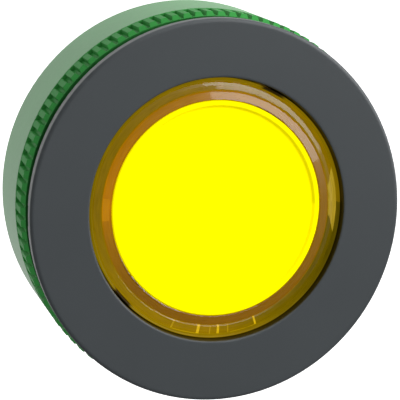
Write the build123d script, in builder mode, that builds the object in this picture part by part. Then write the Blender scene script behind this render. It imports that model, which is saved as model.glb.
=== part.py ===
from build123d import *
import math
import os

# Flush illuminated push-button head for a 30.5 mm panel hole.
# Frame: the button's axis is Y. The face looks towards -Y, the rear is +Y, +Z is up.
# The origin is on the axis in the plane of the panel's front surface, which is the
# rear edge of the bezel. All lengths are in millimetres.
# Turned profiles are drawn in the XY plane, X being the radius, and revolved about Y.

# ---- driving dimensions -------------------------------------------------------
bezel_r = 18.5  # outside of the bezel
bezel_hole_r = 12.75  # opening that the button runs in
bezel_front = -2.6  # front face of the bezel
bezel_disc_back = -1.3  # rear face of the bezel's disc
skirt_r = 16.95  # inside of the bezel's skirt

crest_r = 15.0  # crest of the barrel's thread, M30 x 2
root_r = 13.9  # root of the barrel's thread
pitch = 2.0
flank = 0.5357  # half width gained per millimetre of radius
groove_half = 0.225  # half width of the groove at its root
thread_play = 0.15  # axial play of the nut's thread, each side
thread_start = 0.8
thread_length = 18.4

bore_r = 13.05  # front bore of the barrel
bore_step = 12.8  # where the front bore ends
chamber_r = 11.9  # spring chamber
wall_front = 19.5  # rear wall of the barrel
wall_back = 21.5
spigot_r = 11.0  # rear spigot for the contact block's collar
spigot_bore_r = 9.5
spigot_end = 31.5

nut_front = 0.42
nut_seat = 1.45  # floor of the recess that holds the thrust washer
nut_back = 12.8
nut_rim_r = 18.44  # front rim of the ribs
rib_r = 18.87
rib_root_r = 18.48
rib_count = 100
rib_end = 3.75
nut_skirt_front_r = 18.9
nut_skirt_back_r = 19.0
nut_bore_r = 14.25

stem_r = 7.45
stem_bore_r = 6.0
stem_front = 3.4
stem_end = 27.0
bush_bore_r = 7.5

lens_r = 12.6
lens_front = -2.0
insert_r = 10.45
tab_turns = (268, 178, 88, -2)  # where the lens snaps on to its carrier, degrees

spring_mean_r = 9.3
spring_wire_r = 0.4
spring_front = 8.65
spring_back = 18.95


def across(y, turn=0.0):
    """A plane across the axis at that height, with its normal along +Y."""
    a = math.radians(turn)
    return Plane(
        origin=(0, y, 0), x_dir=(math.cos(a), 0, math.sin(a)), z_dir=(0, 1, 0)
    )


def spot(radius, turn, y):
    """A place at that radius and angle, x outwards and z along +Y."""
    a = math.radians(turn)
    return Plane(
        origin=(radius * math.cos(a), y, radius * math.sin(a)),
        x_dir=(math.cos(a), 0, math.sin(a)),
        z_dir=(0, 1, 0),
    )


def helical_tooth(r0, half0, r1, half1, y0, length):
    """A helical tooth about Y, half0 wide each side at r0 and half1 at r1."""
    with BuildPart() as tooth:
        with BuildLine() as spiral:
            Helix(
                pitch=pitch,
                height=length,
                radius=r0,
                center=(0, y0, 0),
                direction=(0, 1, 0),
            )
        path = spiral.line
        start = path @ 0
        outwards = Vector(start.X, 0, start.Z).normalized()
        with BuildSketch(Plane(origin=start, z_dir=path % 0, x_dir=outwards)):
            Polygon(
                (0, -half0),
                (r1 - r0, -half1),
                (r1 - r0, half1),
                (0, half0),
                align=None,
            )
        sweep(path=path, is_frenet=True)
    return tooth.part


# ---- bezel: flat ring with a skirt that snaps over the barrel's flange -----------
with BuildPart() as bezel_ring:
    with BuildSketch(Plane.XY):
        with BuildLine():
            Polyline(
                (bezel_hole_r, bezel_front),
                (bezel_r, bezel_front),
                (bezel_r, -1.2),
                (17.9, 0),
                (16.75, 0),
                (16.75, -0.22),
                (skirt_r, -0.42),
                (skirt_r, bezel_disc_back),
                (bezel_hole_r, bezel_disc_back),
                close=True,
            )
        make_face()
    revolve(axis=Axis.Y)
    front_rims = bezel_ring.edges().filter_by(GeomType.CIRCLE).group_by(Axis.Y)[0]
    fillet(front_rims.sort_by(SortBy.RADIUS)[-1], radius=0.35)
    front_rims = bezel_ring.edges().filter_by(GeomType.CIRCLE).group_by(Axis.Y)[0]
    fillet(front_rims.sort_by(SortBy.RADIUS)[0], radius=0.14)
    # two pry slots in the rear edge of the skirt
    with Locations(spot(bezel_r, 180, 0), spot(bezel_r, 0, 0)):
        Box(4.0, 2.0, 2.9, mode=Mode.SUBTRACT)

# ---- barrel: flange, threaded tube, rear wall and spigot --------------------------
thread_cut = helical_tooth(
    root_r,
    groove_half,
    crest_r + 0.3,
    groove_half + flank * (crest_r + 0.3 - root_r),
    thread_start,
    thread_length,
)
with BuildPart() as barrel:
    with BuildSketch(Plane.XY):
        with BuildLine():
            Polyline(
                (bore_r, -1.27),
                (16.9, -1.27),
                (16.9, -0.45),
                (16.65, -0.25),
                (16.65, 0),
                (crest_r, 0),
                (crest_r, 19.3),
                (root_r, 20.0),
                (root_r, wall_back),
                (spigot_r, wall_back),
                (spigot_r, spigot_end - 0.5),
                (spigot_r - 0.5, spigot_end),
                (spigot_bore_r, spigot_end),
                (spigot_bore_r, wall_back),
                (8.2, wall_back),
                (8.2, wall_front),
                (chamber_r, wall_front),
                (chamber_r, bore_step),
                (bore_r, bore_step),
                close=True,
            )
        make_face()
    revolve(axis=Axis.Y)
    add(thread_cut, mode=Mode.SUBTRACT)
    # groove for the bezel's seal
    with BuildSketch(Plane.XY):
        with Locations((15.6, -1.02)):
            Rectangle(0.8, 0.52)
    revolve(axis=Axis.Y, mode=Mode.SUBTRACT)
    # keyway for the thrust washer, the length of the thread
    with Locations((0, 9.7, -root_r - 1.0)):
        Box(3.0, 19.4, 2.0, mode=Mode.SUBTRACT)
    # seat for the locating key
    with Locations((0, 0.42, root_r + 0.45 + 1.5)):
        Box(4.7, 0.86, 3.0, mode=Mode.SUBTRACT)
    # two bayonet grooves in the spigot, entered from the rear and turned clockwise
    with Locations(spot(spigot_r, 0, 29.0), spot(spigot_r, 180, 29.0)):
        Box(1.4, 2.6, 5.2, mode=Mode.SUBTRACT)
    for turn in (0, 180):
        with BuildSketch(Plane.XY.rotated((0, turn, 0))):
            with Locations((spigot_r, 27.5)):
                Rectangle(1.4, 2.2)
        revolve(axis=Axis.Y, revolution_arc=32, mode=Mode.SUBTRACT)

# ---- seals and loose pieces of the housing -----------------------------------------
with BuildPart() as bezel_seal_ring:
    with BuildSketch(Plane.XY):
        Polygon(
            (15.22, -1.16),
            (15.32, -1.26),
            (15.88, -1.26),
            (15.98, -1.16),
            (15.98, -0.9),
            (15.88, -0.8),
            (15.32, -0.8),
            (15.22, -0.9),
            align=None,
        )
    revolve(axis=Axis.Y)

with BuildPart() as panel_gasket:
    with BuildSketch(across(0.03)):
        Circle(16.9)
        Circle(15.1, mode=Mode.SUBTRACT)
        with Locations((0, -16.0)):
            Rectangle(4.9, 4.0, mode=Mode.SUBTRACT)
    extrude(amount=0.3)

with BuildPart() as locating_key:
    with Locations((0, 0.42, 15.5)):
        Box(4.6, 0.8, 2.2)
    fillet(locating_key.edges().filter_by(Axis.Y).group_by(Axis.Z)[-1], radius=0.5)

with BuildPart() as boot_clamp_ring:
    with BuildSketch(Plane.XY):
        with BuildLine():
            Polyline(
                (12.1, 7.3),
                (12.7, 7.3),
                (13.0, 7.6),
                (13.0, 12.0),
                (12.1, 12.0),
                close=True,
            )
        make_face()
    revolve(axis=Axis.Y)

with BuildPart() as guide_bush:
    with BuildSketch(Plane.XY):
        with BuildLine():
            Polyline(
                (bush_bore_r, 19.0),
                (10.6, 19.0),
                (10.6, 19.47),
                (8.17, 19.47),
                (8.17, 21.5),
                (bush_bore_r, 21.5),
                close=True,
            )
        make_face()
    revolve(axis=Axis.Y)

with BuildPart() as stop_washer:
    with BuildSketch(across(21.52)):
        Circle(9.3)
        Circle(7.75, mode=Mode.SUBTRACT)
    extrude(amount=0.42)

# ---- button: lens, insert and what they ride on ------------------------------------
with BuildPart() as lens:
    with BuildSketch(Plane.XY):
        with BuildLine():
            Polyline(
                (0, -0.95),
                (10.5, -0.95),
                (10.5, lens_front + 0.02),
                (10.56, lens_front - 0.04),
                (11.3, lens_front + 0.1),
                (11.42, lens_front + 0.22),
                (11.54, lens_front + 0.14),
                (11.9, lens_front + 0.26),
                (12.2, lens_front + 0.4),
                (12.42, lens_front + 0.56),
                (12.55, lens_front + 0.72),
                (lens_r, lens_front + 0.92),
                (lens_r, 2.6),
                (11.35, 2.6),
                (11.35, 0.25),
                (0, 0.25),
                close=True,
            )
        make_face()
    revolve(axis=Axis.Y)
    # four windows in the skirt for the carrier's lugs, with a slot behind each
    with Locations(*[spot(12.0, turn, 1.5) for turn in tab_turns]):
        Box(2.0, 8.2, 1.0, mode=Mode.SUBTRACT)
    with Locations(*[spot(12.3, turn, 2.4) for turn in tab_turns]):
        Box(1.0, 2.2, 1.2, mode=Mode.SUBTRACT)
    # two notches in the front rim
    with Locations(spot(lens_r, 63, -1.4), spot(lens_r, 221, -1.4)):
        Box(0.6, 2.4, 1.5, mode=Mode.SUBTRACT)

with BuildPart() as face_insert:
    with BuildSketch(Plane.XY):
        with BuildLine():
            Polyline(
                (0, -1.75),
                (9.8, -1.75),
                (10.0, lens_front),
                (insert_r - 0.12, lens_front),
                (insert_r, lens_front + 0.12),
                (insert_r, -0.97),
                (0, -0.97),
                close=True,
            )
        make_face()
    revolve(axis=Axis.Y)

with BuildPart() as lens_gasket:
    with BuildSketch(Plane.XY):
        Polygon(
            (9.6, 0.45),
            (9.75, 0.27),
            (11.05, 0.27),
            (11.2, 0.45),
            (11.2, 0.65),
            (11.05, 0.83),
            (9.75, 0.83),
            (9.6, 0.65),
            align=None,
        )
    revolve(axis=Axis.Y)

with BuildPart() as lens_carrier:
    with BuildSketch(Plane.XY):
        with BuildLine():
            Polyline(
                (9.5, 0.85),
                (11.3, 0.85),
                (11.3, 2.7),
                (12.7, 2.7),
                (12.7, 3.2),
                (10.6, 3.2),
                (10.6, 5.0),
                (8.8, 5.0),
                (8.8, 8.0),
                (7.5, 8.0),
                (7.5, 4.2),
                (9.5, 4.2),
                close=True,
            )
        make_face()
    revolve(axis=Axis.Y)
    # four snap lugs
    with Locations(*[spot(11.7, turn, 1.5) for turn in tab_turns]):
        Box(1.2, 7.8, 0.8)
    # their outer faces follow the lens's skirt
    with BuildSketch(across(1.0)):
        Circle(14.0)
        Circle(12.35, mode=Mode.SUBTRACT)
    extrude(amount=1.0, mode=Mode.SUBTRACT)

with BuildPart() as light_spreader:
    with BuildSketch(Plane.XY):
        with BuildLine():
            Polyline(
                (0, 1.2),
                (9.4, 1.2),
                (9.4, 4.15),
                (8.8, 4.15),
                (8.8, 2.0),
                (7.2, 2.45),
                (5.2, 2.75),
                (2.8, 2.93),
                (0, 2.98),
                close=True,
            )
        make_face()
    revolve(axis=Axis.Y)

with BuildPart() as plunger_stem:
    with BuildSketch(Plane.XY):
        with BuildLine():
            Polyline(
                (stem_bore_r, stem_front),
                (8.2, stem_front),
                (8.2, 4.17),
                (stem_r, 4.17),
                (stem_r, 21.98),
                (6.9, 21.98),
                (6.9, 22.74),
                (stem_r, 22.74),
                (stem_r, stem_end - 0.3),
                (stem_r - 0.3, stem_end),
                (stem_bore_r, stem_end),
                close=True,
            )
        make_face()
    revolve(axis=Axis.Y)

with BuildPart() as spring_cup:
    with BuildSketch(Plane.XY):
        with BuildLine():
            Polyline(
                (7.55, 8.02),
                (10.1, 8.02),
                (10.1, 9.3),
                (9.85, 9.3),
                (9.85, 8.6),
                (7.55, 8.6),
                close=True,
            )
        make_face()
    revolve(axis=Axis.Y)

with BuildPart() as retaining_clip:
    with BuildSketch(across(22.02)):
        Circle(8.9)
        Circle(6.93, mode=Mode.SUBTRACT)
        with Locations((0, 8.0)):
            Rectangle(9.2, 7.0, mode=Mode.SUBTRACT)
        with Locations((5.6, -5.6), (-5.6, -5.6)):
            Circle(0.4, mode=Mode.SUBTRACT)
    extrude(amount=0.68)

with BuildPart() as actuator_ring:
    with BuildSketch(Plane.XY):
        with BuildLine():
            Polyline(
                (7.48, 24.2),
                (9.0, 24.2),
                (9.0, 30.0),
                (6.3, 30.0),
                (6.3, stem_end + 0.03),
                (7.48, stem_end + 0.03),
                close=True,
            )
        make_face()
    revolve(axis=Axis.Y)
    # four gaps leave four feet that push the contact block
    with Locations(across(29.0, 0), across(29.0, 90)):
        Box(20.0, 5.0, 2.4, mode=Mode.SUBTRACT)

# ---- pieces that change shape with the button ---------------------------------------
with BuildPart() as boot_seal:
    with BuildSketch(Plane.XY):
        with BuildLine():
            Polyline(
                (8.83, 5.05),
                (10.45, 5.05),
                (11.35, 6.3),
                (11.75, 9.2),
                (12.0, 12.05),
                (12.95, 12.05),
                (12.95, 12.75),
                (11.95, 12.75),
                (11.7, 12.4),
                (11.3, 9.3),
                (10.95, 6.6),
                (10.2, 5.5),
                (9.6, 5.5),
                (9.6, 6.2),
                (8.83, 6.2),
                close=True,
            )
        make_face()
    revolve(axis=Axis.Y)

with BuildPart() as return_spring:
    with BuildLine() as coil:
        Helix(
            pitch=(spring_back - spring_front - 2 * spring_wire_r) / 5.5,
            height=spring_back - spring_front - 2 * spring_wire_r,
            radius=spring_mean_r,
            center=(0, spring_front + spring_wire_r, 0),
            direction=(0, 1, 0),
        )
    with BuildSketch(Plane(origin=coil.line @ 0, z_dir=coil.line % 0)):
        Circle(spring_wire_r)
    sweep(path=coil.line, is_frenet=True)

# ---- washer and nut behind the panel --------------------------------------------------
with BuildPart() as thrust_washer:
    with BuildSketch(across(nut_front)):
        Circle(17.02)
        Circle(15.3, mode=Mode.SUBTRACT)
        with Locations((0, 14.95)):
            Rectangle(2.8, 1.6)
        with Locations((0, -16.0)):
            Rectangle(5.4, 4.0, mode=Mode.SUBTRACT)
    extrude(amount=nut_seat - nut_front - 0.05)

nut_r0 = crest_r - 1.0
nut_r1 = crest_r + 0.2
ridge_half = pitch / 2 - groove_half
nut_cut = helical_tooth(
    nut_r0,
    ridge_half - flank * (nut_r0 - root_r) + thread_play,
    nut_r1,
    ridge_half - flank * (nut_r1 - root_r) + thread_play,
    thread_start - pitch * 1.5,
    pitch * 9,
)
with BuildPart() as tap:
    with BuildSketch(across(nut_front - 6)):
        Circle(nut_bore_r)
    extrude(amount=nut_back - nut_front + 12)
    add(nut_cut)
with BuildPart() as fixing_nut:
    with BuildSketch(Plane.XY):
        with BuildLine():
            Polyline(
                (17.35, nut_seat),
                (rib_root_r, 0.86),
                (rib_root_r, rib_end),
                (nut_skirt_front_r, rib_end),
                (nut_skirt_back_r, nut_back - 0.9),
            )
            ThreePointArc(
                (nut_skirt_back_r, nut_back - 0.9),
                (nut_skirt_back_r - 0.264, nut_back - 0.264),
                (nut_skirt_back_r - 0.9, nut_back),
            )
            Polyline(
                (nut_skirt_back_r - 0.9, nut_back),
                (0, nut_back),
                (0, nut_seat),
                (17.35, nut_seat),
            )
        make_face()
    revolve(axis=Axis.Y)
    # ribs round the front
    with BuildSketch(across(nut_front)):
        step = 2 * math.pi / rib_count
        outline = []
        for k in range(rib_count):
            for part_of_step, radius in (
                (-0.5, rib_root_r - 0.02),
                (-0.37, rib_root_r),
                (-0.25, rib_r),
                (0.25, rib_r),
                (0.37, rib_root_r),
            ):
                angle = (k + part_of_step) * step
                outline.append((radius * math.cos(angle), radius * math.sin(angle)))
        Polygon(*outline, align=None)
        Circle(rib_root_r - 0.3, mode=Mode.SUBTRACT)
    extrude(amount=rib_end - nut_front)
    # the ribs' front ends slope in to the washer's recess and are bevelled outside
    with BuildSketch(Plane.XY):
        Polygon(
            (16.5, nut_front - 0.2),
            (nut_rim_r, nut_front - 0.2),
            (nut_rim_r, nut_front),
            (17.35, nut_seat),
            (16.5, nut_seat),
            align=None,
        )
        Polygon(
            (nut_rim_r, nut_front - 0.2),
            (nut_rim_r + 0.8, nut_front - 0.2),
            (nut_rim_r + 0.8, nut_front + 0.8),
            (nut_rim_r, nut_front),
            align=None,
        )
    revolve(axis=Axis.Y, mode=Mode.SUBTRACT)
    # coring from the rear, with twelve webs left standing
    with BuildSketch(across(nut_back)):
        Circle(17.8)
        Circle(16.2, mode=Mode.SUBTRACT)
        for turn in range(0, 180, 30):
            with Locations(Location((0, 0, 0), (0, 0, turn))):
                Rectangle(40.0, 1.3, mode=Mode.SUBTRACT)
    extrude(amount=-5.5, mode=Mode.SUBTRACT)
    # the thread, then a lead-in at each end
    add(tap.part, mode=Mode.SUBTRACT)
    with BuildSketch(Plane.XY):
        Polygon(
            (13.5, nut_back + 0.5),
            (15.75, nut_back + 0.5),
            (13.5, nut_back - 1.75),
            align=None,
        )
        Polygon((13.5, 1.0), (15.55, 1.0), (13.5, 3.05), align=None)
    revolve(axis=Axis.Y, mode=Mode.SUBTRACT)

parts = {
    "bezel_ring": bezel_ring,
    "barrel": barrel,
    "bezel_seal_ring": bezel_seal_ring,
    "panel_gasket": panel_gasket,
    "locating_key": locating_key,
    "boot_clamp_ring": boot_clamp_ring,
    "guide_bush": guide_bush,
    "stop_washer": stop_washer,
    "lens": lens,
    "face_insert": face_insert,
    "lens_gasket": lens_gasket,
    "lens_carrier": lens_carrier,
    "light_spreader": light_spreader,
    "plunger_stem": plunger_stem,
    "spring_cup": spring_cup,
    "retaining_clip": retaining_clip,
    "actuator_ring": actuator_ring,
    "boot_seal": boot_seal,
    "return_spring": return_spring,
    "thrust_washer": thrust_washer,
    "fixing_nut": fixing_nut,
}
os.makedirs("parts", exist_ok=True)
for name, built in parts.items():
    built.part.label = name
    export_step(built.part, "parts/" + name + ".step")
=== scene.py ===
import bpy
import bmesh
import math
from mathutils import Matrix, Vector


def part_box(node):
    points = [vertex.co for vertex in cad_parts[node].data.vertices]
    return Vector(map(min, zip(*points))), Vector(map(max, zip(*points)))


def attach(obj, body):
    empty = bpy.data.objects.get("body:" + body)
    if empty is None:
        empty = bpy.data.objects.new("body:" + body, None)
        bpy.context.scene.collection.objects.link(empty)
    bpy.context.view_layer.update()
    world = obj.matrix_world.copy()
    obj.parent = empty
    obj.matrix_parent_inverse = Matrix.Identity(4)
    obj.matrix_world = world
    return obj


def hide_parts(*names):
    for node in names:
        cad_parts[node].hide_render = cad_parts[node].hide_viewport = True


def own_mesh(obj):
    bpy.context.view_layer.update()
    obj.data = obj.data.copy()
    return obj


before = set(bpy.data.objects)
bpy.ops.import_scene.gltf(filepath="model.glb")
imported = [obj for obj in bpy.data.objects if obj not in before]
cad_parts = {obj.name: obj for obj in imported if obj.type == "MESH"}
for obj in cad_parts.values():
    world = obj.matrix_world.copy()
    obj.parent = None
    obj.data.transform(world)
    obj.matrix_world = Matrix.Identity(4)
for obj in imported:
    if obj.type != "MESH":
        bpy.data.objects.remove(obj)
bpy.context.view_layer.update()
scene = bpy.context.scene
scene.view_settings.view_transform = "Standard"
scene.view_settings.look = "None"
MM = 0.001


# ---- small helpers ---------------------------------------------------------------
def srgb(r, g, b):
    def lin(v):
        v /= 255.0
        return v / 12.92 if v <= 0.04045 else ((v + 0.055) / 1.055) ** 2.4

    return (lin(r), lin(g), lin(b), 1.0)


def scaled(c, k):
    return (c[0] * k, c[1] * k, c[2] * k, 1.0)


def material(name):
    m = bpy.data.materials.new(name)
    m.use_nodes = True
    nt = m.node_tree
    return m, nt, nt.nodes, nt.links, nt.nodes["Principled BSDF"]


def object_coords(nt):
    return nt.nodes.new("ShaderNodeTexCoord").outputs["Object"]


def noise(nt, scale, detail=3.0, rough=0.5, vec=None):
    n = nt.nodes.new("ShaderNodeTexNoise")
    n.inputs["Scale"].default_value = scale
    n.inputs["Detail"].default_value = detail
    n.inputs["Roughness"].default_value = rough
    nt.links.new(vec if vec else object_coords(nt), n.inputs["Vector"])
    return n.outputs["Fac"]


def ramp(nt, fac, stops):
    r = nt.nodes.new("ShaderNodeValToRGB")
    e = r.color_ramp.elements
    while len(e) < len(stops):
        e.new(0.5)
    for k, (p, c) in enumerate(stops):
        e[k].position = p
        e[k].color = c
    nt.links.new(fac, r.inputs["Fac"])
    return r.outputs["Color"]


def maths(nt, op, a, b=None, c=None):
    n = nt.nodes.new("ShaderNodeMath")
    n.operation = op
    for i, v in enumerate((a, b, c)):
        if v is None:
            continue
        if isinstance(v, (int, float)):
            n.inputs[i].default_value = v
        else:
            nt.links.new(v, n.inputs[i])
    return n.outputs["Value"]


def remap(nt, fac, lo, hi):
    n = nt.nodes.new("ShaderNodeMapRange")
    n.inputs["From Min"].default_value = 0.3
    n.inputs["From Max"].default_value = 0.7
    n.inputs["To Min"].default_value = lo
    n.inputs["To Max"].default_value = hi
    nt.links.new(fac, n.inputs["Value"])
    return n.outputs["Result"]


def bump(nt, heights, normal=None):
    """Bumps in a chain: heights is a list of (socket, strength, distance in metres)."""
    out = normal
    for fac, strength, distance in heights:
        b = nt.nodes.new("ShaderNodeBump")
        b.inputs["Strength"].default_value = strength
        b.inputs["Distance"].default_value = distance
        nt.links.new(fac, b.inputs["Height"])
        if out is not None:
            nt.links.new(out, b.inputs["Normal"])
        out = b.outputs["Normal"]
    return out


def moulded(
    name,
    colour,
    rough=0.45,
    vary=0.05,
    grain=2600,
    grain_depth=0.00001,
    specular=0.5,
    sheen=0.0,
    sheen_tint=(1, 1, 1, 1),
    coat=0.0,
    rounding=0.0,
    wave_depth=0.00004,
):
    """Moulded plastic: slight flow marks in the colour, fine spark-eroded grain, uneven gloss."""
    m, nt, nodes, links, p = material(name)
    broad = noise(nt, 140, 3)
    fine = noise(nt, grain, 4, 0.6)
    col = ramp(
        nt,
        broad,
        [(0.25, scaled(colour, 1 - vary)), (0.75, scaled(colour, 1 + vary))],
    )
    links.new(col, p.inputs["Base Color"])
    links.new(remap(nt, fine, rough - 0.06, rough + 0.06), p.inputs["Roughness"])
    p.inputs["Specular IOR Level"].default_value = specular
    p.inputs["Sheen Weight"].default_value = sheen
    p.inputs["Sheen Tint"].default_value = sheen_tint
    p.inputs["Sheen Roughness"].default_value = 0.35
    p.inputs["Coat Weight"].default_value = coat
    base = None
    if rounding:
        bv = nodes.new("ShaderNodeBevel")
        bv.samples = 6
        bv.inputs["Radius"].default_value = rounding
        base = bv.outputs["Normal"]
    links.new(
        bump(nt, [(broad, 0.15, wave_depth), (fine, 0.35, grain_depth)], base),
        p.inputs["Normal"],
    )
    return m


def metal(name, colour, rough=0.32):
    m, nt, nodes, links, p = material(name)
    p.inputs["Metallic"].default_value = 1.0
    broad = noise(nt, 260, 4)
    stretch = nodes.new("ShaderNodeMapping")
    stretch.inputs["Scale"].default_value = (1.0, 14.0, 1.0)
    links.new(object_coords(nt), stretch.inputs["Vector"])
    lines = noise(nt, 900, 4, 0.6, stretch.outputs["Vector"])
    links.new(
        ramp(nt, broad, [(0.3, scaled(colour, 0.85)), (0.7, scaled(colour, 1.1))]),
        p.inputs["Base Color"],
    )
    links.new(remap(nt, lines, rough - 0.08, rough + 0.12), p.inputs["Roughness"])
    links.new(bump(nt, [(lines, 0.25, 0.00001)]), p.inputs["Normal"])
    return m


# ---- materials ---------------------------------------------------------------------
BEZEL = (0.057, 0.0655, 0.071, 1)
GREEN = (0.055, 0.36, 0.075, 1)
mats = {}
mats["barrel"] = moulded("barrel_black", srgb(38, 40, 42), rough=0.5, specular=0.4)
mats["rubber"] = moulded(
    "black_rubber", srgb(24, 24, 25), rough=0.75, specular=0.2, grain=1800
)
mats["trim"] = moulded("trim_black", srgb(44, 45, 47), rough=0.48, specular=0.35)
mats["acetal"] = moulded("natural_acetal", srgb(206, 202, 190), rough=0.4)
mats["white"] = moulded("white_plastic", srgb(214, 205, 160), rough=0.45)
mats["steel"] = metal("spring_steel", (0.55, 0.55, 0.56, 1))


def place(nt):
    """Object coordinates in millimetres: x, y, z, distance from the axis and angle in turns."""
    sep = nt.nodes.new("ShaderNodeSeparateXYZ")
    nt.links.new(object_coords(nt), sep.inputs[0])
    x = maths(nt, "MULTIPLY", sep.outputs["X"], 1000.0)
    y = maths(nt, "MULTIPLY", sep.outputs["Y"], 1000.0)
    z = maths(nt, "MULTIPLY", sep.outputs["Z"], 1000.0)
    r = maths(
        nt,
        "SQRT",
        maths(nt, "ADD", maths(nt, "MULTIPLY", x, x), maths(nt, "MULTIPLY", z, z)),
    )
    turn = maths(
        nt,
        "FRACT",
        maths(
            nt,
            "ADD",
            maths(nt, "DIVIDE", maths(nt, "ARCTAN2", z, x), 2 * math.pi),
            1.0,
        ),
    )
    return x, y, z, r, turn


def between(nt, value, lo, hi):
    n = nt.nodes.new("ShaderNodeMapRange")
    n.inputs["From Min"].default_value = lo
    n.inputs["From Max"].default_value = hi
    n.interpolation_type = "SMOOTHSTEP"
    nt.links.new(value, n.inputs["Value"])
    return n.outputs["Result"]


def green_nut():
    """Saturated green: glossy on the plain skirt, duller on the ribs, grain all over."""
    m, nt, nodes, links, p = material("nut_green")
    x, y, z, r, turn = place(nt)
    broad = noise(nt, 150, 3)
    fine = noise(nt, 2600, 4, 0.6)
    links.new(
        ramp(nt, broad, [(0.25, scaled(GREEN, 0.94)), (0.75, scaled(GREEN, 1.06))]),
        p.inputs["Base Color"],
    )
    skirt = between(nt, y, 3.6, 4.1)
    spread = maths(nt, "MULTIPLY_ADD", skirt, -0.14, 0.46)
    links.new(
        maths(nt, "ADD", spread, maths(nt, "MULTIPLY", fine, 0.08)),
        p.inputs["Roughness"],
    )
    links.new(
        maths(nt, "MULTIPLY_ADD", skirt, 0.52, 0.06), p.inputs["Specular IOR Level"]
    )
    bevel = nodes.new("ShaderNodeBevel")
    bevel.samples = 6
    bevel.inputs["Radius"].default_value = 0.0001
    links.new(
        bump(nt, [(broad, 0.12, 0.00004), (fine, 0.25, 0.00001)], bevel.outputs[0]),
        p.inputs["Normal"],
    )
    return m


def bezel_grey():
    """Dark grey: fine satin grain on the face, a smoother turned side."""
    m, nt, nodes, links, p = material("bezel_dark_grey")
    x, y, z, r, turn = place(nt)
    broad = noise(nt, 140, 3)
    fine = noise(nt, 3200, 4, 0.6)
    grey = ramp(nt, broad, [(0.25, scaled(BEZEL, 0.97)), (0.75, scaled(BEZEL, 1.03))])
    # painted shade: the wall of the opening is painted dark, tinted amber as though lit by the
    # ring that runs in it
    painted_wall_shade = nodes.new("ShaderNodeMix")
    painted_wall_shade.data_type = "RGBA"
    links.new(between(nt, r, 12.83, 12.78), painted_wall_shade.inputs["Factor"])
    links.new(grey, painted_wall_shade.inputs["A"])
    painted_wall_shade.inputs["B"].default_value = (0.03, 0.022, 0.003, 1)
    links.new(painted_wall_shade.outputs["Result"], p.inputs["Base Color"])
    bevel = nodes.new("ShaderNodeBevel")
    bevel.samples = 6
    bevel.inputs["Radius"].default_value = 0.0003
    side = maths(nt, "MULTIPLY", between(nt, r, 18.25, 18.42), between(nt, y, -2.4, -2.2))
    spread = maths(nt, "MULTIPLY_ADD", side, -0.05, 0.39)
    links.new(
        maths(nt, "ADD", spread, maths(nt, "MULTIPLY", fine, 0.07)),
        p.inputs["Roughness"],
    )
    links.new(
        maths(nt, "MULTIPLY_ADD", side, 0.1, 0.4), p.inputs["Specular IOR Level"]
    )
    links.new(
        bump(nt, [(broad, 0.15, 0.00004), (fine, 0.35, 0.00001)], bevel.outputs[0]),
        p.inputs["Normal"],
    )
    return m


def amber_clear():
    """Polished amber: clear, with faint flow lines and a few fine scuffs."""
    m, nt, nodes, links, p = material("amber_clear")
    p.inputs["Base Color"].default_value = (1.0, 0.86, 0.42, 1)
    p.inputs["Transmission Weight"].default_value = 1.0
    p.inputs["IOR"].default_value = 1.5
    links.new(remap(nt, noise(nt, 700, 3), 0.02, 0.1), p.inputs["Roughness"])
    # the two bands of the front are polished a little rounder than they are cut
    x, y, z, r, turn = place(nt)
    front = between(nt, y, -1.0, -1.25)
    lean = maths(nt, "MULTIPLY_ADD", between(nt, r, 11.36, 11.48), -0.2, 0.1)
    lean = maths(nt, "MULTIPLY", lean, front)
    outwards = nodes.new("ShaderNodeCombineXYZ")
    links.new(maths(nt, "MULTIPLY", lean, maths(nt, "DIVIDE", x, r)), outwards.inputs[0])
    links.new(maths(nt, "MULTIPLY", lean, maths(nt, "DIVIDE", z, r)), outwards.inputs[2])
    turned_out = nodes.new("ShaderNodeVectorMath")
    turned_out.operation = "ADD"
    links.new(nodes.new("ShaderNodeNewGeometry").outputs["Normal"], turned_out.inputs[0])
    links.new(outwards.outputs[0], turned_out.inputs[1])
    unit = nodes.new("ShaderNodeVectorMath")
    unit.operation = "NORMALIZE"
    links.new(turned_out.outputs[0], unit.inputs[0])
    links.new(
        bump(nt, [(noise(nt, 120, 2), 0.08, 0.00004)], unit.outputs[0]),
        p.inputs["Normal"],
    )
    return m


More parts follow.
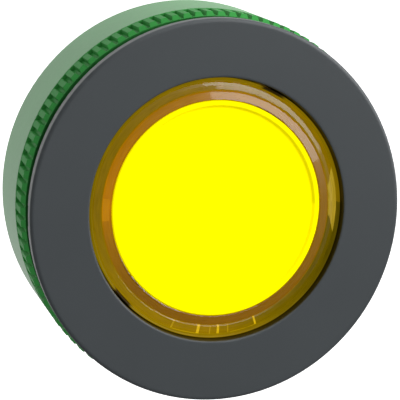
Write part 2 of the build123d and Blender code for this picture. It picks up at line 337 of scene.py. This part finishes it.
def lit_yellow():
    m, nt, nodes, links, p = material("lit_yellow")
    broad = noise(nt, 120, 2)
    links.new(
        ramp(nt, broad, [(0.2, (0.95, 0.83, 0.0, 1)), (0.8, (1.0, 0.9, 0.0, 1))]),
        p.inputs["Base Color"],
    )
    links.new(remap(nt, noise(nt, 1800, 3), 0.4, 0.55), p.inputs["Roughness"])
    p.inputs["Specular IOR Level"].default_value = 0.0
    x, y, z, r, turn = place(nt)
    # the lamp is behind the middle, so the glow eases off a little towards the rim; a painted
    # shaded ring, darker and more orange, sits at the step of the dish all the way round
    links.new(
        ramp(
            nt,
            maths(nt, "DIVIDE", r, 12.0),
            [
                (0.0, (1.0, 0.95, 0.0, 1)),
                (0.78, (1.0, 0.93, 0.0, 1)),
                (0.815, (0.86, 0.72, 0.0, 1)),
                (0.845, (1.0, 0.95, 0.0, 1)),
            ],
        ),
        p.inputs["Emission Color"],
    )
    # painted shade: outside r 10.47 the insert's side wall glows at about a quarter of its face's
    # strength
    face = between(nt, r, 10.47, 10.41)
    # the step of the dish is in its own shade at the top and on the right
    ring = maths(
        nt, "MULTIPLY", between(nt, r, 9.55, 9.82), between(nt, r, 10.12, 9.92)
    )
    side = ramp(
        nt,
        turn,
        [
            (0.0, (0.8, 0.8, 0.8, 1)),
            (0.2, (1.0, 1.0, 1.0, 1)),
            (0.34, (0.7, 0.7, 0.7, 1)),
            (0.46, (0.15, 0.15, 0.15, 1)),
            (0.9, (0.1, 0.1, 0.1, 1)),
        ],
    )
    shade = maths(
        nt,
        "SUBTRACT",
        1.0,
        maths(nt, "MULTIPLY", maths(nt, "MULTIPLY", ring, side), 0.62),
    )
    links.new(
        maths(
            nt,
            "MULTIPLY",
            maths(nt, "MULTIPLY_ADD", face, 0.33, 0.12),
            shade,
        ),
        p.inputs["Emission Strength"],
    )
    links.new(bump(nt, [(noise(nt, 2200, 3), 0.2, 0.00001)]), p.inputs["Normal"])
    return m


def frosted():
    m, nt, nodes, links, p = material("frosted_spreader")
    p.inputs["Base Color"].default_value = (0.95, 0.93, 0.82, 1)
    p.inputs["Transmission Weight"].default_value = 0.8
    links.new(remap(nt, noise(nt, 1500, 3), 0.4, 0.6), p.inputs["Roughness"])
    links.new(bump(nt, [(noise(nt, 1800, 3), 0.3, 0.00002)]), p.inputs["Normal"])
    return m


def guided_light(name, low, high, strength=1.0, turns=None):
    """Amber emission in place of the lens's lit inner faces, partly the lamp's light it carries
    and partly painted light: it glows a little, and the turns ramp paints lighter and darker
    stretches along the ring.
    """
    m, nt, nodes, links, p = material(name)
    x, y, z, r, turn = place(nt)
    streaks = nodes.new("ShaderNodeCombineXYZ")
    links.new(maths(nt, "MULTIPLY", turn, 40.0), streaks.inputs[0])
    links.new(maths(nt, "MULTIPLY", r, 9.0), streaks.inputs[1])
    grain = noise(nt, 1.0, 3, 0.6, streaks.outputs[0])
    col = ramp(nt, grain, [(0.3, low), (0.7, high)])
    if turns:
        mul = nodes.new("ShaderNodeMix")
        mul.data_type = "RGBA"
        mul.blend_type = "MULTIPLY"
        mul.inputs["Factor"].default_value = 1.0
        links.new(col, mul.inputs["A"])
        links.new(ramp(nt, turn, turns), mul.inputs["B"])
        col = mul.outputs["Result"]
    links.new(col, p.inputs["Emission Color"])
    p.inputs["Emission Strength"].default_value = strength
    p.inputs["Base Color"].default_value = (0.02, 0.01, 0.0, 1)
    p.inputs["Specular IOR Level"].default_value = 0.1
    links.new(remap(nt, grain, 0.25, 0.4), p.inputs["Roughness"])
    return m


mats["green"] = green_nut()
mats["bezel"] = bezel_grey()
mats["amber"] = amber_clear()
mats["lit"] = lit_yellow()
mats["frosted"] = frosted()

finish_of = {
    "bezel_ring": "bezel",
    "barrel": "barrel",
    "bezel_seal_ring": "rubber",
    "panel_gasket": "rubber",
    "locating_key": "trim",
    "boot_clamp_ring": "trim",
    "guide_bush": "acetal",
    "stop_washer": "steel",
    "lens": "amber",
    "face_insert": "lit",
    "lens_gasket": "rubber",
    "lens_carrier": "white",
    "light_spreader": "frosted",
    "plunger_stem": "trim",
    "spring_cup": "steel",
    "retaining_clip": "steel",
    "actuator_ring": "acetal",
    "boot_seal": "rubber",
    "return_spring": "steel",
    "thrust_washer": "steel",
    "fixing_nut": "green",
}
for node, key in finish_of.items():
    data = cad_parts[node].data
    data.materials.clear()
    data.materials.append(mats[key])

# ---- the lens's inner faces, seen through its clear front -------------------------------
SEGMENTS = 480


def turned(name, profile, materials, bands):
    """A surface of revolution about Y from (radius, y) points in millimetres."""
    bm = bmesh.new()
    rings = []
    for radius, y in profile:
        rings.append(
            [
                bm.verts.new(
                    (
                        radius * MM * math.cos(2 * math.pi * k / SEGMENTS),
                        y * MM,
                        radius * MM * math.sin(2 * math.pi * k / SEGMENTS),
                    )
                )
                for k in range(SEGMENTS)
            ]
        )
    for i in range(len(rings) - 1):
        for k in range(SEGMENTS):
            n = (k + 1) % SEGMENTS
            f = bm.faces.new((rings[i][k], rings[i][n], rings[i + 1][n], rings[i + 1][k]))
            f.material_index = bands[i]
            f.smooth = True
    bmesh.ops.recalc_face_normals(bm, faces=bm.faces)
    mesh = bpy.data.meshes.new(name)
    bm.to_mesh(mesh)
    bm.free()
    for mat in materials:
        mesh.materials.append(mat)
    ob = bpy.data.objects.new(name, mesh)
    scene.collection.objects.link(ob)
    return ob


def patch(name, mat, turns_in, turns_out, r0, r1, y0, y1, thick=0.03, steps=12):
    """A thin curved plate in the ring, between two angles at each of two radii."""
    bm = bmesh.new()
    grid = []
    for i in range(steps + 1):
        row = []
        for r, y, turns in (
            (r0, y0, turns_in),
            (r1, y1, turns_out),
            (r1, y1 + thick, turns_out),
            (r0, y0 + thick, turns_in),
        ):
            a = math.radians(turns[0] + (turns[1] - turns[0]) * i / steps)
            row.append(
                bm.verts.new((r * MM * math.cos(a), y * MM, r * MM * math.sin(a)))
            )
        grid.append(row)
    for i in range(steps):
        for j in range(4):
            k = (j + 1) % 4
            bm.faces.new((grid[i][j], grid[i][k], grid[i + 1][k], grid[i + 1][j]))
    bm.faces.new(grid[0][::-1])
    bm.faces.new(grid[-1])
    bmesh.ops.recalc_face_normals(bm, faces=bm.faces)
    mesh = bpy.data.meshes.new(name)
    bm.to_mesh(mesh)
    bm.free()
    mesh.materials.append(mat)
    ob = bpy.data.objects.new(name, mesh)
    scene.collection.objects.link(ob)
    return ob


lens_lo, lens_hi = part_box("lens")
y0 = lens_lo.y / MM  # the lens's foremost height
# painted light: the inner faces glow, lighter and darker in turn along the ring where light and
# shade fall; painted highlights run on the step between the bands and along the outer edge, and
# painted shade darkens the deep wall behind
inner_glow = guided_light(
    "glow_inner",
    (0.205, 0.098, 0.0, 1),
    (0.25, 0.122, 0.0, 1),
    turns=[
        (0.0, (1.0, 1.05, 1, 1)),
        (0.2, (1.45, 1.4, 1, 1)),
        (0.36, (1.45, 1.35, 1, 1)),
        (0.49, (1.9, 1.6, 1, 1)),
        (0.54, (1.25, 1.2, 1, 1)),
        (0.62, (0.85, 0.8, 1, 1)),
        (0.8, (0.95, 0.9, 1, 1)),
        (1.0, (1.0, 1.05, 1, 1)),
    ],
)
outer_glow = guided_light(
    "glow_outer",
    (0.2, 0.128, 0.0, 1),
    (0.27, 0.17, 0.0, 1),
    turns=[
        (0.0, (1.0, 1.0, 1, 1)),
        (0.2, (1.0, 1.0, 1, 1)),
        (0.4, (0.85, 0.9, 1, 1)),
        (0.5, (0.85, 0.9, 1, 1)),
        (0.62, (1.15, 1.2, 1, 1)),
        (0.74, (1.25, 1.25, 1, 1)),
        (0.82, (0.75, 0.85, 1, 1)),
        (0.9, (0.5, 0.6, 1, 1)),
    ],
)
edge_glow = guided_light("glow_edges", (0.6, 0.4, 0.0, 1), (0.78, 0.55, 0.01, 1))
faint_glow = guided_light("glow_fine", (0.38, 0.25, 0.0, 1), (0.46, 0.31, 0.0, 1))
step_glow = guided_light("glow_step", (0.34, 0.17, 0.0, 1), (0.42, 0.22, 0.0, 1))
top_glow = guided_light("glow_tab_top", (0.22, 0.13, 0.01, 1), (0.27, 0.17, 0.02, 1))
painted_gold_highlight = guided_light("glow_tab_right", (0.3, 0.22, 0.01, 1), (0.5, 0.37, 0.04, 1))
painted_orange_glint = guided_light("glow_tab_left", (0.44, 0.19, 0.0, 1), (0.52, 0.23, 0.0, 1))
shade = guided_light("glow_shade", (0.03, 0.02, 0.0, 1), (0.06, 0.04, 0.0, 1))
core = turned(
    "lens_inner_faces",
    [
        (10.56, y0 + 1.05),
        (10.56, y0 + 0.34),
        (10.7, y0 + 0.3),
        (11.34, y0 + 0.44),
        (11.4, y0 + 0.5),
        (12.1, y0 + 0.74),
        (12.36, y0 + 0.96),
        (12.42, y0 + 1.1),
        (12.46, y0 + 3.6),
    ],
    [inner_glow, outer_glow, edge_glow, shade, step_glow],
    [0, 0, 0, 4, 1, 1, 2, 3],
)
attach(core, "button")
details = []
# the snap tab at the bottom, its frame and the rib inside it, as thin glowing strips: painted
# highlights where the moulded edges catch the light
for k, (turn, r_in, r_out, w) in enumerate(
    (
        (289.0, 10.75, 12.42, 0.9),
        (275.7, 11.45, 12.36, 0.5),
        (270.9, 11.25, 12.42, 1.1),
        (267.0, 11.45, 12.36, 0.5),
        (261.2, 11.2, 12.42, 1.3),
        (248.5, 11.4, 12.36, 0.7),
    )
):
    details.append(
        patch(
            f"tab_edge_{k}",
            edge_glow if w > 0.8 else faint_glow,
            (turn - w / 2, turn + w / 2),
            (turn - w / 2, turn + w / 2),
            r_in,
            r_out,
            y0 + 0.3 + 0.2 * (r_in - 10.6),
            y0 + 0.3 + 0.2 * (r_out - 10.6),
            steps=2,
        )
    )
# painted highlights along the sills either side of the bottom tab
for k, (a, b) in enumerate(((249, 262), (277, 289))):
    details.append(
        patch(
            f"tab_sill_{k}",
            edge_glow,
            (a, b),
            (a, b),
            12.3,
            12.4,
            y0 + 0.6,
            y0 + 0.64,
        )
    )
# the other three tabs, as painted light: a painted golden highlight on the right, a painted
# orange glint on the left and faint painted streaks at the top
details.append(
    patch(
        "tab_right", painted_gold_highlight, (-5, 7.5), (-14.5, 16.5), 11.52, 12.34, y0 + 0.4, y0 + 0.62
    )
)
details.append(
    patch(
        "tab_left",
        painted_orange_glint,
        (173, 184),
        (173, 184),
        10.7,
        11.33,
        y0 + 0.24,
        y0 + 0.31,
    )
)
for k, (turn, w) in enumerate(((73.0, 0.8), (80.0, 3.2), (88.0, 3.6), (96.0, 0.8))):
    details.append(
        patch(
            f"tab_top_{k}",
            top_glow,
            (turn - w / 2, turn + w / 2),
            (turn - w / 2, turn + w / 2),
            11.5,
            12.3,
            y0 + 0.42,
            y0 + 0.6,
            steps=4,
        )
    )
# painted shade: the rim's glow is painted near black over the two notches in the rim, and dimmer
# towards the lower right
rim_glow = guided_light(
    "glow_rim",
    (0.19, 0.122, 0.0, 1),
    (0.26, 0.165, 0.0, 1),
    turns=[
        (0.0, (0.8, 0.8, 1, 1)),
        (0.158, (0.9, 0.9, 1, 1)),
        (0.161, (0.03, 0.03, 0.2, 1)),
        (0.189, (0.03, 0.03, 0.2, 1)),
        (0.192, (0.9, 0.9, 1, 1)),
        (0.5, (0.8, 0.85, 1, 1)),
        (0.597, (1.0, 1.05, 1, 1)),
        (0.6, (0.03, 0.03, 0.2, 1)),
        (0.627, (0.03, 0.03, 0.2, 1)),
        (0.63, (1.1, 1.15, 1, 1)),
        (0.75, (1.2, 1.2, 1, 1)),
        (0.84, (0.7, 0.75, 1, 1)),
        (0.93, (0.35, 0.4, 1, 1)),
    ],
)
rim = turned(
    "lens_rim",
    [
        (12.32, y0 + 0.9),
        (12.34, y0 + 0.3),
        (12.42, y0 + 0.02),
        (12.5, y0 - 0.06),
        (12.57, y0 + 0.02),
        (12.59, y0 + 0.3),
        (12.59, y0 + 0.9),
        (12.32, y0 + 0.9),
    ],
    [rim_glow],
    [0, 0, 0, 0, 0, 0, 0],
)
details.append(rim)
for ob in details:
    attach(ob, "button")


def shortening(name, node, mat):
    """A smooth-shaded copy of the CAD shape, attached to the housing in place of the hidden CAD
    part.
    """
    bm = bmesh.new()
    bm.from_mesh(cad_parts[node].data)
    bmesh.ops.remove_doubles(bm, verts=bm.verts, dist=1e-7)
    for f in bm.faces:
        f.smooth = True
        f.material_index = 0
    mesh = bpy.data.meshes.new(name)
    bm.to_mesh(mesh)
    bm.free()
    mesh.materials.append(mat)
    ob = bpy.data.objects.new(name, mesh)
    scene.collection.objects.link(ob)
    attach(ob, "housing")
    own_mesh(ob)
    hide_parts(node)
    return ob


shortening("spring_coil", "return_spring", mats["steel"])
shortening("rubber_boot", "boot_seal", mats["rubber"])

# ---- light ----------------------------------------------------------------------------
world = bpy.data.worlds.new("studio")
scene.world = world
world.use_nodes = True
wt = world.node_tree
background = wt.nodes["Background"]
coords = wt.nodes.new("ShaderNodeTexCoord")
split = wt.nodes.new("ShaderNodeSeparateXYZ")
wt.links.new(coords.outputs["Generated"], split.inputs[0])
behind = ramp(
    wt,
    maths(wt, "MULTIPLY_ADD", split.outputs["Y"], 0.5, 0.5),
    [
        (0.0, (0.1, 0.1, 0.1, 1)),
        (0.3, (0.07, 0.07, 0.07, 1)),
        (0.62, (0.12, 0.12, 0.12, 1)),
        (0.9, (0.95, 0.95, 0.95, 1)),
    ],
)
toward = maths(
    wt,
    "ADD",
    maths(wt, "MULTIPLY", split.outputs["X"], 0.65),
    maths(
        wt,
        "ADD",
        maths(wt, "MULTIPLY", split.outputs["Z"], 0.76),
        maths(wt, "MULTIPLY", split.outputs["Y"], -0.05),
    ),
)
overhead = ramp(
    wt,
    maths(wt, "MULTIPLY_ADD", toward, 0.5, 0.5),
    [
        (0.5, (0.0, 0.0, 0.0, 1)),
        (0.7, (0.12, 0.12, 0.12, 1)),
        (0.79, (0.62, 0.62, 0.62, 1)),
        (0.96, (1.0, 1.0, 1.0, 1)),
    ],
)
total = wt.nodes.new("ShaderNodeMix")
total.data_type = "RGBA"
total.blend_type = "ADD"
total.inputs["Factor"].default_value = 1.0
stronger = wt.nodes.new("ShaderNodeVectorMath")
stronger.operation = "SCALE"
wt.links.new(overhead, stronger.inputs[0])
# it stands in front of the head, so surfaces seen edge-on don't catch it
wt.links.new(
    maths(
        wt,
        "MULTIPLY",
        2.4,
        between(wt, split.outputs["Y"], 0.55, 0.15),
    ),
    stronger.inputs["Scale"],
)
wt.links.new(behind, total.inputs["A"])
wt.links.new(stronger.outputs[0], total.inputs["B"])
sky = total.outputs["Result"]
path = wt.nodes.new("ShaderNodeLightPath")


def choose(factor, a, b):
    mix = wt.nodes.new("ShaderNodeMix")
    mix.data_type = "RGBA"
    wt.links.new(factor, mix.inputs["Factor"])
    for socket, v in (("A", a), ("B", b)):
        if isinstance(v, tuple):
            mix.inputs[socket].default_value = v
        else:
            wt.links.new(v, mix.inputs[socket])
    return mix.outputs["Result"]


seen = choose(path.outputs["Is Glossy Ray"], (0.42, 0.42, 0.42, 1), sky)
seen = choose(path.outputs["Is Transmission Ray"], seen, (0.05, 0.05, 0.05, 1))
seen = choose(path.outputs["Is Camera Ray"], seen, (1.0, 1.0, 1.0, 1))
wt.links.new(seen, background.inputs["Color"])
background.inputs["Strength"].default_value = 1.0


def softbox(name, direction, distance, width, height, radiance):
    light = bpy.data.lights.new(name, "AREA")
    light.shape = "RECTANGLE"
    light.size = width
    light.size_y = height
    light.energy = radiance * math.pi * width * height
    ob = bpy.data.objects.new(name, light)
    scene.collection.objects.link(ob)
    ob.location = Vector(direction).normalized() * distance
    ob.rotation_euler = (-ob.location).to_track_quat("-Z", "Y").to_euler()
    return ob


softbox("key", (0.75, -0.62, 0.42), 0.7, 0.9, 0.6, 3.0)

# ---- floor: pale, well below the part ---------------------------------------------------
m, nt, nodes, links, p = material("pale_floor")
p.inputs["Base Color"].default_value = (0.98, 0.98, 0.98, 1)
p.inputs["Roughness"].default_value = 0.9
p.inputs["Specular IOR Level"].default_value = 0.0
links.new(
    ramp(
        nt,
        noise(nt, 4, 2),
        [(0.3, (0.99, 0.99, 0.99, 1)), (0.7, (1.0, 1.0, 1.0, 1))],
    ),
    p.inputs["Emission Color"],
)
p.inputs["Emission Strength"].default_value = 0.9
mesh = bpy.data.meshes.new("floor")
size = 3.0
mesh.from_pydata(
    [(-size, -size, 0), (size, -size, 0), (size, size, 0), (-size, size, 0)],
    [],
    [(0, 1, 2, 3)],
)
floor = bpy.data.objects.new("floor", mesh)
floor.location = (0, 0, -0.12)
mesh.materials.append(m)
scene.collection.objects.link(floor)
floor.visible_glossy = False
floor.visible_diffuse = False

# ---- camera: held level, above and to the left, with a shifted lens ----------------------
def directions(az, el):
    a, e = math.radians(az), math.radians(el)
    back = Vector((math.sin(a) * math.cos(e), -math.cos(a) * math.cos(e), math.sin(e)))
    right = Vector((math.cos(a), math.sin(a), 0))
    return back, right, back.cross(right)


WIDTH = 400.0
FOCAL = 1724.5  # pixels
centre_x, centre_y = 218.84, 209.28  # where the bezel's centre falls
where, _, _ = directions(-15.45, 12.031)
back, right, up = directions(-13.194, 0.0)
target = Vector((0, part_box("bezel_ring")[0].y, 0))
offset = where * 0.17097
x0 = FOCAL * (-offset.dot(right)) / offset.dot(back)
y0_ = FOCAL * (-offset.dot(up)) / offset.dot(back)
cam_data = bpy.data.cameras.new("camera")
cam = bpy.data.objects.new("camera", cam_data)
scene.collection.objects.link(cam)
# the shift is held by a slanted parent, so that a camera moved to another view has none
across = WIDTH / 2 - (centre_x - x0)
above = (centre_y + y0_) - WIDTH / 2
slant = back - (right * across + up * above) / FOCAL
grow = slant.length
slant.normalize()
frame_of_view = Matrix((right, up, slant)).transposed().to_4x4()
frame_of_view.translation = target + offset
rig = bpy.data.objects.new("camera_rig", None)
scene.collection.objects.link(rig)
cam.parent = rig
cam.matrix_parent_inverse = frame_of_view
cam_data.sensor_width = 36.0
cam_data.lens = 36.0 * FOCAL * grow / WIDTH
cam_data.clip_start = 0.01
cam_data.clip_end = 20.0
scene.camera = cam
